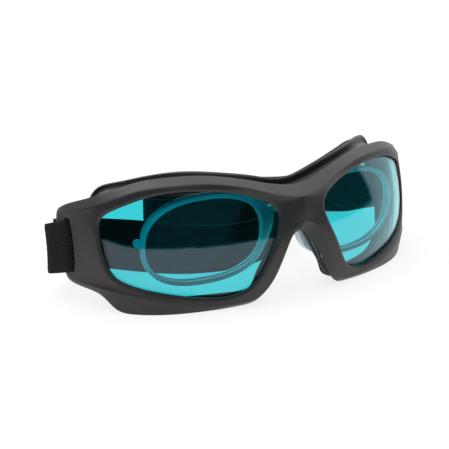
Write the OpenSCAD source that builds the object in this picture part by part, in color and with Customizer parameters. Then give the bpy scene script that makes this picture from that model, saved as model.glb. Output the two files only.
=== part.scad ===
/* [Wrap] */
// Radius of the wrap in plan at the nose
wrap_r = 174.7; // [150:0.1:220]
// How fast the wrap tightens towards the temples, per cubic metre times a million
wrap_tighten = 2.155; // [1.6:0.005:2.4]
// Distance along the wrap at which the temple arm runs straight
arm_start = 88; // [86:0.5:90]
// Radius of the upright bow of the front
bow_r = 45.8; // [42:0.1:60]
// Backward lean of the front, rise over run
lean = 0.0106; // [0:0.0001:0.03]
// Height of the eye line above the surface the goggles stand on
eye_line = 20.7; // [20.7:0.1:30]

/* [Front frame] */
// Height of the lip in front of the lens
lip_rise = 0.8; // [0.4:0.1:1.2]
// Width of the chamfer round each opening
lip_chamfer = 1.1; // [0.6:0.1:1.4]
// Thickness of the lip that holds the lens
lip_wall = 0.9; // [0.7:0.1:1.2]
// Wall round the lens pocket
pocket_wall = 1.4; // [1.1:0.1:1.6]
// Depth of the pocket behind the lip
pocket_depth = 3.2; // [2.8:0.1:3.6]
// Thickness of the outer wall of the frame
frame_wall = 2.0; // [1.6:0.1:2.4]
// Sub-steps between the frame's stations
frame_steps = 3; // [2:1:4]

/* [Strap slot] */
// Distance along the wrap to the front edge of the slot
slot_start = 101.8; // [101:0.1:102.2]
// Width of the slot
slot_w = 2.6; // [2.4:0.1:3]
// Top of the slot above the eye line
slot_top = 16.6; // [16:0.1:17]
// Bottom of the slot from the eye line
slot_bottom = -6.4; // [-7:0.1:-6]

/* [Lenses] */
// Thickness of a filter lens
lens_t = 2.2; // [1.8:0.1:2.4]
// How far the lens reaches behind the lip
lens_overlap = 1.5; // [1.2:0.1:1.6]
// Clearance round a lens
lens_gap = 0.25; // [0.2:0.05:0.3]

/* [Face carrier] */
// Wall of the carrier
carrier_wall = 2.0; // [1.6:0.1:2.4]
// Height of the rim that stands up at the back of the carrier
rim_h = 2.6; // [2:0.1:2.8]
// Thickness of that rim
rim_t = 1.6; // [1.2:0.1:2]

/* [Cushion] */
// Thickness of the cushion, from the carrier to the face
cushion_t = 6; // [5:0.25:6.5]
// Width of the cushion
cushion_w = 5; // [4:0.25:5.25]

/* [Prescription insert] */
// Half width of a rim opening
rx_half_w = 26.5; // [25:0.25:26.5]
// Half height of a rim opening
rx_half_h = 17; // [15:0.25:17]
// Width of a rim
rx_rim = 2.2; // [1.8:0.1:2.4]
// Depth of a rim
rx_depth = 4; // [3.4:0.1:4.4]
// Thickness of an insert lens
rx_lens_t = 1.8; // [1.4:0.1:2.2]
// Distance of an eye's centre from the middle
rx_eye_x = 36.7; // [36:0.1:37.2]
// Distance of an eye's centre behind the front of the wrap
rx_eye_y = 22; // [21.5:0.1:23]
// Height of an eye's centre above the eye line
rx_eye_z = 5.8; // [5:0.1:6.4]
// Turn of each rim towards the temple
rx_turn = 6.4; // [5:0.1:8]
// Radius of the peg at the outer end of each rim
rx_peg_r = 1.7; // [1.4:0.1:2]

/* [Strap] */
// Width of the webbing
strap_w = 20.5; // [19:0.5:21]
// Thickness of the webbing
strap_t = 1.6; // [1.2:0.1:1.7]
// Clearance between the webbing and the temple bar
strap_gap = 0.25; // [0.2:0.05:0.4]
// Rise over run of the webbing as it comes down from the right temple bar
slope_right = 0.26; // [0.2:0.01:0.4]
// The same behind the left temple bar
slope_left = 0.36; // [0.2:0.01:0.4]

/* [Slider] */
// Width of each rail of the slider
rail_w = 3.2; // [2.6:0.1:3.6]
// Thickness of the slider's rails
rail_t = 1.8; // [1.4:0.1:2.2]
// Length of the slider along the strap
slider_len = 16; // [14:0.5:16]
// Height of the slider's end pieces, above and below the webbing
slider_cap = 1.6; // [1.2:0.1:2]

/* [Hidden] */
floor_z = -eye_line;
// Distance from the front of the wrap to the middle of the whole part
origin_y = 54.5;

// Four-point Gauss rule on 0 to 1
gauss_at = [0.0694318, 0.3300095, 0.6699905, 0.9305682];
gauss_by = [0.1739274, 0.3260726, 0.3260726, 0.1739274];

// Eye opening, from the brow by the nose round to the temple, the cheek and back: [along, up]
opening = [
    [13.0, 19.9], [18.6, 23.5], [28, 26.5], [40, 28.4], [52, 28.8], [64, 27.3], [76, 23.5],
    [84.3, 19.9], [87.8, 16.2], [88.7, 10], [87.8, 3], [84.5, -3.8], [78, -7.4], [69, -10],
    [58, -12.3], [46, -14.4], [36, -15.3], [27.5, -13.4], [22, -8], [18, 0], [14.5, 7],
    [12.2, 12.6], [11.6, 16.6]];
// Forward position of the outer face of the temple bar, which lies below the arm's own surface
bar_face = -1.5;
// Outer edge of the front face, station by station: [along, up, forward]
crease = [
    [0, 23.1, 3.6], [11, 24.8, 2.9], [24, 28.9, 2.2], [38, 31.4, 1.3], [52, 31.5, 1.0],
    [66, 30.2, 1.3], [79, 26.1, 1.0], [91, 22, 1.4], [103.4, 19, 0], [108.9, 15.4, bar_face],
    [107.4, -5.4, bar_face], [100.5, -9.6, -0.4], [88, -10.2, 1.5], [75, -12.2, 1.7], [60, -15.2, 1.8],
    [46, -18, 1.8], [34, -18.8, 1.6], [22.5, -18.2, 0.9], [16.2, -12, 0.4], [11, 0.3, 0.6],
    [6, 9.6, 1.0], [0, 13, 1.4]];
// Back edge of the outer wall, station by station: [along, up, forward]
rear_edge = [
    [0, 26.8, -1.2], [12, 28.5, -1.3], [24, 31.4, -1.6], [38, 33.5, -2.5], [52, 33.8, -2.4],
    [66, 32.8, -1.2], [80, 28.9, -0.6], [91, 25.5, 0.2], [104.6, 21, -1], [109.6, 14.8, -3],
    [107.9, -6.4, -3], [102.4, -11.2, -1.4], [88.5, -13.4, 0.4], [77.5, -20.4, 2.4], [62, -20.7, 2.8],
    [46, -20.7, 1.6], [33, -20.7, 0.6], [22, -20.4, -0.6], [14.6, -12.7, -1.6], [8.3, -0.7, -3.4],
    [3.9, 5.6, -4.2], [0, 7.5, -4.4]];
// The edge lists stop at the nose arch; the stations past it lie in the mirror plane of the bridge
seam_first = len(crease) - 1;
stations = len(opening);
// Back of the carrier, from the brow round the temple and cheek to the nose:
// [x, y, z, share of the rim's height, share of the cushion's size]
carrier_back = [
    [0, 19.4, 27.4, 1, 1], [19.9, 20.4, 31.7, 1, 1], [42.3, 31, 33.6, 1, 1],
    [57.5, 51, 27.2, 1, 1], [65, 67, 19.5, 0.8, 0.9], [76, 54, 5, 0.4, 0.8],
    [73.4, 39, -11.4, 0.2, 0.5], [56, 25, -19.8, 0.2, 0.5], [22.5, 11.8, -20.2, 0.15, 0.65],
    [13.4, 11.4, -8.8, 0.5, 0.4], [0, 11.4, 8.8, 0.5, 0.4]];
// How far the soft lobe over the left temple stands out from the mirror image of the right one
left_lobe = [
    [0, 0, 0], [0, 0, 0], [0.5, -0.5, 0.3], [4.5, -5, 4.6], [8, -12, 8], [3, -2, 6], [0, 0, 2],
    [0, 0, 0], [0, 0, 0], [0, 0, 0], [0, 0, 0]];
// Nose end of the carrier's front edge: [along, up, forward]
carrier_nose = [[21.4, -17.6, -4.6], [14, -11.5, -5.2], [8.8, -0.5, -5.4], [0, 8.8, -5.5]];
ring_steps = 2;

// Strap, seen from above, from the fold behind the right temple to the left one: [x, y]
strap_path = [
    [-90.9, 55.9], [-87.6, 60.6], [-83, 66.4], [-77.4, 72.6], [-71.5, 77.2], [-65, 78.6],
    [-58.5, 76], [-52, 70.6], [-46, 65], [-38, 58], [-28, 51], [-14, 46], [0, 45.2], [12, 48.6],
    [24, 55.4], [33, 61.4], [34.4, 67.6], [25, 74], [8, 82.6], [-8, 90.4], [-18.6, 97],
    [-20.6, 103.6], [-14.6, 107.9], [-6, 108.6], [2, 107.4], [10, 106.2], [18, 105], [26, 103.8],
    [34, 102.6], [42, 101.4], [53, 99.4], [64, 95.8], [74, 90.6], [81.6, 82.6], [86.6, 73],
    [89.4, 64], [91.4, 57]];
// The sewn end of the strap, behind a temple bar, drawn on the positive side: [x, y]
strap_end = [[78.9, 68.5], [81.6, 65.3], [84.4, 61.6], [86.4, 57.4]];// Place of the slider in strap_path; the webbing runs straight for two stations on each side
slider_station = 26;
strap_cols = 3;
strap_steps = 3;

function lerp(a, b, t) = a + (b - a) * t;
function spline(a, b, c, d, t) =
    0.5 * (2 * b + (c - a) * t + (2 * a - 5 * b + 4 * c - d) * t * t + (3 * b - a - 3 * c + d) * t * t * t);
function loop_curve(p, n) =
    let (m = len(p))
    [for (i = [0:m * n - 1])
        let (k = floor(i / n))
        spline(p[(k - 1 + m) % m], p[k], p[(k + 1) % m], p[(k + 2) % m], (i % n) / n)];
function open_curve(p, n) =
    let (m = len(p) - 1)
    [for (i = [0:m * n])
        let (k = min(floor(i / n), m - 1))
        spline(p[max(k - 1, 0)], p[k], p[k + 1], p[min(k + 2, m)], i / n - k)];
function unit(v) = v / norm(v);
function reversed(v) = [for (i = [len(v) - 1:-1:0]) v[i]];
function mirrored(p) = [for (i = [0:len(p) - 1]) i == 0 ? -p[0] : p[i]];
// A curve that starts and ends in the mirror plane and meets its mirror image smoothly there
function half_curve(p, n) =
    let (m = len(p) - 1)
    [for (i = [0:m * n])
        let (k = min(floor(i / n), m - 1))
        spline(k == 0 ? mirrored(p[1]) : p[k - 1], p[k], p[k + 1],
               k == m - 1 ? mirrored(p[m - 1]) : p[k + 2], i / n - k)];

// Turn of the wrap at a distance along it, in degrees
function wrap_turn(s) =
    let (c = min(s, arm_start)) (c / wrap_r + wrap_tighten * 1e-6 * pow(c, 3) / 3) * 180 / PI;
// Plan position at a distance along the wrap
function wrap_plan(s) =
    let (c = min(s, arm_start), a = wrap_turn(c))
    c * [for (f = [0, 1])
            sum4([for (k = [0:3])
                let (b = wrap_turn(c * gauss_at[k])) gauss_by[k] * (f == 0 ? cos(b) : sin(b))])]
    + (s - c) * [cos(a), sin(a)];
function sum4(v) = v[0] + v[1] + v[2] + v[3];
function bow(z) = z * z / (2 * bow_r) + lean * z;
function on_wrap(s, z, d) =
    let (p = wrap_plan(s), a = wrap_turn(s)) [p[0] + d * sin(a), p[1] - d * cos(a) + bow(z), z];

// Outline of the opening grown outward by g, in developed coordinates
opening_fine = loop_curve(opening, frame_steps);
function grown(p, i, g) =
    let (m = len(p), t = p[(i + 1) % m] - p[(i - 1 + m) % m], n = unit([-t[1], t[0]])) p[i] + g * n;

// Triangles between two neighbouring rings of m points, starting at a and b
function strip(a, b, m) =
    [for (j = [0:m - 1])
        for (t = [[a + j, a + (j + 1) % m, b + j], [a + (j + 1) % m, b + (j + 1) % m, b + j]]) t];

// Sections of the front frame, ten points each
section_n = 10;
// How much farther back the inner side of the back edge lies than its outer side
edge_slant = 0.5;
// Widest front face that stays solid, and how the hollow behind a wider one deepens
hollow_from = 6;
hollow_rate = 0.25;
hollow_max = 1.7;
// A half edge goes on smoothly up the bridge, from the nose arch back to the brow
function edge_curve(p) =
    let (m = len(p) - 1, rest = (stations - m) * frame_steps)
    concat(half_curve(p, frame_steps), [for (i = [1:rest - 1]) lerp(p[m], p[0], i / rest)]);
crease_fine = edge_curve(crease);
rear_fine = edge_curve(rear_edge);
frame_n = stations * frame_steps;
seam_start = seam_first * frame_steps;
function in_seam(i) = i % frame_n >= seam_start || i % frame_n == 0;
function no_cross(p, i) = [in_seam(i) ? 0 : max(p[0], 0.3), max(p[1], floor_z), p[2]];
function inner_edge(i) =
    let (d = no_cross(rear_fine[i], i), a = opening_fine[i], v = unit(a - [d[0], d[1]]))
    d[1] <= floor_z + 0.6 ? [d[0], d[1], d[2] - frame_wall]
    : in_seam(i) ? [0, d[1] + (i % frame_n == 0 ? -frame_wall : i == seam_start ? frame_wall : 0), d[2] - edge_slant]
    : [d[0] + v[0] * frame_wall, d[1] + v[1] * frame_wall, d[2] - edge_slant];
function frame_section(i) =
    let (a = opening_fine[i],
         b = grown(opening_fine, i, lip_chamfer),
         c = no_cross(crease_fine[i], i),
         d = no_cross(rear_fine[i], i),
         e = inner_edge(i),
         pocket = grown(opening_fine, i, lens_overlap + lens_gap),
         g = grown(opening_fine, i, lens_overlap + lens_gap + pocket_wall),
         back = -lip_wall - pocket_depth,
         span = norm([c[0], c[1]] - a),
         hollow = min(max(span - hollow_from, 0) * hollow_rate, hollow_max),
         f = [lerp(e[0], g[0], 0.5), lerp(e[1], g[1], 0.5), lerp(e[2], back, 0.5) + hollow])
    [[a[0], a[1], 0], [b[0], b[1], lip_rise], c, d, e, f, [g[0], g[1], back],
     [pocket[0], pocket[1], back], [pocket[0], pocket[1], -lip_wall], [a[0], a[1], -lip_wall]];
frame_points = [for (i = [0:frame_n - 1]) for (q = frame_section(i)) on_wrap(q[0], q[1], q[2])];
function frame_id(side, i, j) =
    let (k = i % frame_n)
    side * (in_seam(k) && j >= 2 && j <= 4 ? 0 : 1) * frame_n * section_n + k * section_n + j;
function open_quad(i, j) = in_seam(i) && in_seam(i + 1) && (j == 2 || j == 3);
frame_faces =
    [for (side = [0, 1]) for (i = [0:frame_n - 1]) for (j = [0:section_n - 1])
        if (!open_quad(i, j))
            let (a = frame_id(side, i, j), b = frame_id(side, i, (j + 1) % section_n),
                 c = frame_id(side, i + 1, (j + 1) % section_n), d = frame_id(side, i + 1, j))
            for (t = side == 0 ? [[a, b, c], [a, c, d]] : [[a, c, b], [a, d, c]]) t];

// One upright edge of the strap slot, which follows the bow of the arm: [along, up]
slot_rows = 8;
slot_depth = 30;
function slot_edge(shift) =
    [for (k = [0:slot_rows])
        let (z = lerp(slot_bottom, slot_top, k / slot_rows))
        [slot_start - arm_start + shift + bow(z) * sin(wrap_turn(arm_start)), z]];

module slot_cutter() {
    p = wrap_plan(arm_start);
    translate([p[0], p[1], 0])
        rotate([0, 0, wrap_turn(arm_start)])
            rotate([90, 0, 0])
                linear_extrude(slot_depth, center = true)
                    polygon(concat(slot_edge(slot_w), reversed(slot_edge(0))));
}

module front_frame() {
    color("#2c2d30")
        difference() {
            polyhedron(concat(frame_points, [for (p = frame_points) mirrored(p)]), frame_faces,
                       convexity = 10);
            slot_cutter();
            mirror([1, 0, 0]) slot_cutter();
        }
}

// A filter lens: rings of its outline drawn in towards the middle, front and back
lens_shrink = [1, 0.8, 0.55, 0.28];
lens_mid = [50, 7];
lens_front = -lip_wall - lens_gap;
function lens_ring(k, d) =
    [for (i = [0:2:frame_n - 1])
        let (g = grown(opening_fine, i, lens_overlap), q = lens_mid + lens_shrink[k] * (g - lens_mid))
        on_wrap(q[0], q[1], d)];
lens_n = len(lens_ring(0, 0));
lens_points = concat([on_wrap(lens_mid[0], lens_mid[1], lens_front)],
                     [for (k = [3:-1:0]) for (q = lens_ring(k, lens_front)) q],
                     [for (k = [0:3]) for (q = lens_ring(k, lens_front - lens_t)) q],
                     [on_wrap(lens_mid[0], lens_mid[1], lens_front - lens_t)]);
lens_faces = concat(
    [for (i = [0:lens_n - 1]) [0, 1 + i, 1 + (i + 1) % lens_n]],
    [for (k = [0:6]) for (t = strip(1 + (k + 1) * lens_n, 1 + k * lens_n, lens_n)) t],
    [for (i = [0:lens_n - 1]) [8 * lens_n + 1, 1 + 7 * lens_n + (i + 1) % lens_n, 1 + 7 * lens_n + i]]);

module filter_lens() {
    color("#1fb4c0")
        polyhedron(lens_points, lens_faces, convexity = 4);
}

// Carrier and cushion share one closed route; each half runs from brow to nose
carrier_reach = lens_overlap + lens_gap + pocket_wall;
carrier_seat = 0.3;
carrier_d = -lip_wall - pocket_depth - carrier_seat;
// Brow end of the carrier's front edge, and the stations of the opening that it follows
carrier_brow = [[0, 23.8, carrier_d], [14, 26.6, carrier_d]];
carrier_first = 2;
carrier_last = 16;
carrier_front = concat(
    carrier_brow,
    [for (i = [carrier_first:carrier_last]) concat(grown(opening, i, carrier_reach), carrier_d)],
    carrier_nose);
back_steps = ring_steps * (len(carrier_front) - 1) / (len(carrier_back) - 1);
function ring_loop(left, right) = concat(left, [for (i = [len(right) - 2:-1:1]) mirrored(right[i])]);
carrier_back_left = [for (i = [0:len(carrier_back) - 1]) carrier_back[i] + concat(left_lobe[i], [0, 0])];
carrier_rear = ring_loop(half_curve(carrier_back_left, back_steps), half_curve(carrier_back, back_steps));
fore_half = half_curve([for (q = carrier_front) on_wrap(q[0], q[1], q[2])], ring_steps);
carrier_fore = ring_loop(fore_half, fore_half);
ring_n = len(carrier_rear);
ring_low = floor_z + 0.3;
function rear_at(i) = let (p = carrier_rear[i]) [p[0], p[1], max(p[2], ring_low)];
// Inward direction of the ring in the upright plane
function inward(i) =
    let (t = rear_at((i + 1) % ring_n) - rear_at((i - 1 + ring_n) % ring_n)) unit([t[2], 0, -t[0]]);
// Direction from the rim towards the face: it turns inward from the middle to the temple
face_turn = 0.55;
face_half = 65;
function faceward(i) = unit([-carrier_rear[i][0] / face_half * face_turn, 1, 0]);
function carrier_section(i) =
    let (r = rear_at(i), q = carrier_fore[i], n = inward(i), v = unit(q - r),
         rise = rim_h * carrier_rear[i][3],
         w = carrier_wall * (0.5 + carrier_rear[i][4] / 2))
    [q, r + n * rise + v * rim_t, r + v * rim_t, r, r + n * (rise + w), q + n * w];
carrier_points = [for (i = [0:ring_n - 1]) for (p = carrier_section(i)) p];
function tube_faces(n, m) = [for (i = [0:n - 1]) for (t = strip(i * m, ((i + 1) % n) * m, m)) t];

module face_carrier() {
    color("#5c646b")
        polyhedron(carrier_points, tube_faces(ring_n, 6), convexity = 10);
}

cushion_sides = 8;
cushion_gap = 0.05;
function cushion_section(i) =
    let (b = faceward(i), n = inward(i), size = carrier_rear[i][4],
         w = cushion_w / 2 * size, t = cushion_t / 2 * size,
         c = rear_at(i) + b * (cushion_gap + t) + n * (w + rim_h * carrier_rear[i][3]))
    [for (k = [0:cushion_sides - 1])
        let (a = -360 * (k + 0.5) / cushion_sides)
        c + n * (w * soft(cos(a))) + b * (t * soft(sin(a)))];
// Rounds the corners of the cushion's section without making it an ellipse
function soft(u) = sign(u) * min(pow(abs(u), 0.75) * 1.06, 1);
cushion_points = [for (i = [0:ring_n - 1]) for (p = cushion_section(i)) p];

module face_cushion() {
    color("#1b1b1d")
        polyhedron(cushion_points, tube_faces(ring_n, cushion_sides), convexity = 10);
}

// Outline of an insert rim, grown by g; the upper nasal side can carry a web as well
rx_web = 3.4;
function rx_outline(g, web = 0) =
    [for (k = [0:47])
        let (a = k * 7.5, c = cos(a), s = sin(a),
             w = g + web * max(-c, 0) * max(0, min(1, 0.5 + 2 * s)))
        [(rx_half_w + w) * sign(c) * pow(abs(c), 0.84), (rx_half_h + g) * sign(s) * pow(abs(s), 0.84)]];
rx_groove = 0.7;
rx_fit = 0.15;
rx_peg_up = 2;
rx_peg_t = 2;
rx_peg_back = -2;

module rx_place() {
    translate([rx_eye_x, rx_eye_y, rx_eye_z])
        rotate([0, 0, rx_turn])
            rotate([90, 0, 0])
                children();
}

// What the openings and their lens grooves take away
module rx_cutter() {
    rx_place() {
        linear_extrude(rx_depth + 1, center = true) polygon(rx_outline(0));
        linear_extrude(rx_lens_t + 2 * rx_fit, center = true) polygon(rx_outline(rx_groove + rx_fit));
    }
}

module rx_rim_one() {
    rx_place() {
        linear_extrude(rx_depth, center = true) polygon(rx_outline(rx_rim, rx_web));
        difference() {
            union() {
                translate([rx_half_w + rx_rim + rx_peg_r, rx_peg_up, rx_peg_back])
                    cylinder(r = rx_peg_r, h = rx_peg_t, $fn = 32);
                translate([rx_half_w + rx_rim / 2, rx_peg_up - rx_peg_r / 2, rx_peg_back])
                    cube([rx_rim / 2 + rx_peg_r, rx_peg_r, rx_peg_t]);
            }
            linear_extrude(rx_depth + 1, center = true) polygon(rx_outline(rx_rim / 2));
        }
    }
}

rx_bridge_h = 5;
rx_bridge_t = 2.6;
// How far the bridge runs on past the nasal edge of each opening, before the openings cut it
rx_bridge_hold = 5;
// Tongue on the insert's bridge that reaches forward to the back of the frame
rx_tongue_w = 9;
rx_tongue_t = 2;
rx_tongue_front = 7.6;

module rx_bridge() {
    reach = rx_eye_x - rx_half_w + rx_bridge_hold;
    mid_y = rx_eye_y - (rx_half_w + rx_rim) * sin(rx_turn);
    base_z = rx_eye_z + rx_half_h * 0.42;
    translate([-reach, mid_y - rx_bridge_t / 2, base_z])
        cube([2 * reach, rx_bridge_t, rx_bridge_h]);
    translate([-rx_tongue_w / 2, rx_tongue_front, base_z + rx_bridge_h - rx_tongue_t])
        cube([rx_tongue_w, mid_y - rx_tongue_front, rx_tongue_t]);
}

module rx_frame() {
    color("#bfe3e6") {
        difference() {
            union() {
                rx_rim_one();
                mirror([1, 0, 0]) rx_rim_one();
                rx_bridge();
            }
            rx_cutter();
            mirror([1, 0, 0]) rx_cutter();
        }
    }
}

module rx_lens() {
    color("#dff3f5")
        rx_place() linear_extrude(rx_lens_t, center = true) polygon(rx_outline(rx_groove));
}

// Strap: the loop round the right bar, the band, and the loop round the left bar
slot_mid = slot_start + slot_w / 2;
// The bar's outer face is this much higher beside the slot than at its end
bar_rise = 0.45;
over_bar = bar_face + bar_rise + strap_gap + strap_t / 2;
under_bar = -lip_wall - pocket_depth - strap_gap - strap_t / 2;
// End of the temple bar, measured along the wrap
bar_end = 108.9;
// Corners of the strap's bends, from the slot's middle along the wrap
bend_near = 0.6;
bend_far = 2.6;
bend_soft = 0.25;
bend_depth = 2;
// Round a temple bar, from its inner side through the slot to its outer side: [along, forward]
strap_loop = [
    [bar_end - 0.5, under_bar], [slot_mid + bend_far, under_bar], [slot_mid + bend_near, under_bar + bend_near],
    [slot_mid, under_bar + bend_depth], [slot_mid, over_bar - bend_depth],
    [slot_mid + bend_soft, over_bar - 0.8], [slot_mid + 2 * bend_near, over_bar - 0.1],
    [slot_mid + bend_far, over_bar], [bar_end + 0.5, over_bar - 0.3], [bar_end + 3.2, over_bar - 0.6],
    [bar_end + 5.4, over_bar - 1.4]];
function loop_xy(q, side) =
    let (p = wrap_plan(q[0]), a = wrap_turn(q[0])) [side * (p[0] + q[1] * sin(a)), p[1] - q[1] * cos(a)];
function bar_side(side) =
    concat([for (q = strap_end) [side * q[0], q[1]]], [for (q = strap_loop) loop_xy(q, side)]);
bar_station = len(strap_end) + 3;
slider_control = len(bar_side(1)) + slider_station;
strap_plan = open_curve(concat(bar_side(-1), strap_path, reversed(bar_side(1))), strap_steps);
strap_n = len(strap_plan);
strap_run = [for (i = 0, r = 0; i < strap_n;
                  r = r + (i + 1 < strap_n ? norm(strap_plan[i + 1] - strap_plan[i]) : 0), i = i + 1) r];
strap_bar_run = strap_run[bar_station * strap_steps];
slider_run = strap_run[slider_control * strap_steps];
strap_total = strap_run[strap_n - 1];
strap_mid_slot = 5.3;
strap_mid_low = floor_z + strap_w / 2;
strap_fall = strap_mid_slot - strap_mid_low;
// Share of the fall after which the strap levels out
fall_share = 0.8;
slider_clear = 0.35;
slider_raise = slider_clear + slider_cap;
raise_flat = 18;
raise_ramp = 22;
function bar_distance(r) = min(abs(r - strap_bar_run), abs(strap_total - r - strap_bar_run));
function soft_stop(u) =
    let (top = strap_fall * fall_share, rest = strap_fall - top)
    u < top ? u : strap_fall - rest * exp(-(u - top) / rest);
// The slider's lower end stands on the floor, so the webbing inside it is that much higher
function raised(r) =
    let (u = max(0, min(1, (abs(r - slider_run) - raise_flat) / raise_ramp)))
    slider_raise * (1 + cos(180 * u)) / 2;
// Height of the strap's middle line: it slopes down from each bar until it stands on its edge
function strap_mid(r) =
    strap_mid_slot - soft_stop((r < strap_total / 2 ? slope_right : slope_left) * bar_distance(r)) + raised(r);
// The webbing leans with the bow of the arm at a bar, and stands upright further on
lean_flat = 12;
lean_ramp = 30;
function follow(r) = max(0, min(1, 1 - (bar_distance(r) - lean_flat) / lean_ramp));
function strap_section(i) =
    let (p = strap_plan[i],
         t = unit(strap_plan[min(i + 1, strap_n - 1)] - strap_plan[max(i - 1, 0)]),
         n = [-t[1], t[0]] * strap_t / 2,
         mid = strap_mid(strap_run[i]),
         w = follow(strap_run[i]))
    [for (side = [-1, 1]) for (k = [0:strap_cols])
        let (z = mid + side * strap_w * (k / strap_cols - 0.5))
        [p[0] + side * n[0], p[1] + side * n[1] + w * bow(z), z]];
strap_m = 2 * (strap_cols + 1);
strap_points = [for (i = [0:strap_n - 1]) for (p = strap_section(i)) p];
strap_faces = concat(
    [for (i = [0:strap_n - 2]) for (t = strip((i + 1) * strap_m, i * strap_m, strap_m)) t],
    [[for (j = [0:strap_m - 1]) j]],
    [[for (j = [strap_m - 1:-1:0]) (strap_n - 1) * strap_m + j]]);

module strap() {
    color("#202124")
        polyhedron(strap_points, strap_faces, convexity = 10);
}

module strap_slider() {
    at = strap_path[slider_station];
    run = strap_path[slider_station + 1] - at;
    h = strap_w + 2 * slider_raise;
    out = strap_t / 2 + slider_clear;
    color("#18191b")
        translate([at[0], at[1], floor_z + h / 2])
            rotate([0, 0, atan2(run[1], run[0])]) {
                for (x = [-slider_len / 2, slider_len / 2 - rail_w])
                    translate([x, -out - rail_t, -h / 2]) cube([rail_w, rail_t, h]);
                translate([-rail_w / 2, out, -h / 2]) cube([rail_w, rail_t, h]);
                for (z = [-h / 2, h / 2 - slider_cap])
                    translate([-slider_len / 2, -out - rail_t, z])
                        cube([slider_len, 2 * (out + rail_t), slider_cap]);
            }
}

module placed() {
    translate([0, -origin_y, eye_line]) children();
}

placed() front_frame();
placed() mirror([1, 0, 0]) filter_lens();  // lens_right
placed() filter_lens();  // lens_left
placed() face_carrier();
placed() face_cushion();
placed() rx_frame();
placed() mirror([1, 0, 0]) rx_lens();  // rx_lens_right
placed() rx_lens();  // rx_lens_left
placed() strap();
placed() strap_slider();
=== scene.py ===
"""Laser safety goggles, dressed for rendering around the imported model.

Shapes are worked out in millimetres as on the wearer: x towards the left temple, y back from the
front of the wrap, z up from the eye line. placed() moves them into the part's frame, in metres.
"""
import math

import bmesh
import bpy
import numpy as np
from mathutils import Matrix, Vector

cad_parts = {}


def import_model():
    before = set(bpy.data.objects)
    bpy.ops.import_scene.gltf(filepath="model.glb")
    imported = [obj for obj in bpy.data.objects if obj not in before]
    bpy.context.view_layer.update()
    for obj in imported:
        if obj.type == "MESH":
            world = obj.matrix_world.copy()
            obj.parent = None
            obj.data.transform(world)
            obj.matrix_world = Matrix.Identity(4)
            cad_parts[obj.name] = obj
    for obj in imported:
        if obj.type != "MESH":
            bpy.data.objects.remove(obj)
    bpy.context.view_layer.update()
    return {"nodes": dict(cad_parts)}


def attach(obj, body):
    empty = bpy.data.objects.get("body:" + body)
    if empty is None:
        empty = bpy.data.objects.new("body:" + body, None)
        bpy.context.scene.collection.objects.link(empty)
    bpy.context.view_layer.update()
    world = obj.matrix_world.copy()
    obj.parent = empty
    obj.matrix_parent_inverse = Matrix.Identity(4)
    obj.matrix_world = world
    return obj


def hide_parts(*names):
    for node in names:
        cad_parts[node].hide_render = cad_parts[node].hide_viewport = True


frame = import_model()

# The wrap: a plan curve that tightens towards the temples, with an upright bow
WRAP_R = 174.7
WRAP_TIGHTEN = 2.155e-6
ARM_START = 88.0
BOW_R = 45.8
LEAN = 0.0106
EYE_LINE = 20.7
ORIGIN_Y = 54.5
FLOOR_Z = -EYE_LINE
# Four-point Gauss rule, for the run of the wrap's plan curve
GAUSS_AT = (0.0694318, 0.3300095, 0.6699905, 0.9305682)
GAUSS_BY = (0.1739274, 0.3260726, 0.3260726, 0.1739274)

# Front frame
LIP_RISE = 0.8
LIP_CHAMFER = 1.1
LIP_WALL = 0.9
POCKET_WALL = 1.4
POCKET_DEPTH = 3.2
FRAME_WALL = 2.0
EDGE_SLANT = 0.5
FRAME_STEPS = 3
SLOT_START = 101.8
SLOT_W = 2.6
SLOT_TOP = 16.5
SLOT_BOTTOM = -5.7
LENS_T = 2.2
LENS_OVERLAP = 1.5
LENS_GAP = 0.25
BAR_FACE = -1.5

# Eye opening, from the brow by the nose round to the temple, the cheek and back: along, up
OPENING = [
    (13.0, 19.9), (18.6, 23.5), (28, 26.5), (40, 28.4), (52, 28.8), (64, 27.3), (76, 23.5),
    (84.3, 19.9), (87.8, 16.2), (88.7, 10), (87.8, 3), (84.5, -3.8), (78, -7.4), (69, -10),
    (58, -12.3), (46, -14.4), (36, -15.3), (27.5, -13.4), (22, -8), (18, 0), (14.5, 7),
    (12.2, 12.6), (11.6, 16.6)]
# Outer edge of the front face: along, up, forward
CREASE = [
    (0, 23.1, 3.6), (11, 24.8, 2.9), (24, 28.9, 2.2), (38, 31.4, 1.3), (52, 31.5, 1.0),
    (66, 30.2, 1.3), (79, 26.1, 1.0), (91, 22, 1.4), (103.4, 19, 0), (108.9, 15.4, BAR_FACE),
    (107.4, -5.4, BAR_FACE), (100.5, -9.6, -0.4), (88, -10.2, 1.5), (75, -12.2, 1.7), (60, -15.2, 1.8),
    (46, -18, 1.8), (34, -18.8, 1.6), (22.5, -18.2, 0.9), (16.2, -12, 0.4), (11, 0.3, 0.6),
    (6, 9.6, 1.0), (0, 13, 1.4)]
# Back edge of the outer wall: along, up, forward
REAR_EDGE = [
    (0, 26.8, -1.2), (12, 28.5, -1.3), (24, 31.4, -1.6), (38, 33.5, -2.5), (52, 33.8, -2.4),
    (66, 32.8, -1.2), (80, 28.9, -0.6), (91, 25.5, 0.2), (104.6, 21, -1), (109.6, 14.8, -3),
    (107.9, -6.4, -3), (102.4, -11.2, -1.4), (88.5, -13.4, 0.4), (77.5, -20.4, 2.4), (62, -20.7, 2.8),
    (46, -20.7, 1.6), (33, -20.7, 0.6), (22, -20.4, -0.6), (14.6, -12.7, -1.6), (8.3, -0.7, -3.4),
    (3.9, 5.6, -4.2), (0, 7.5, -4.4)]

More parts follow.
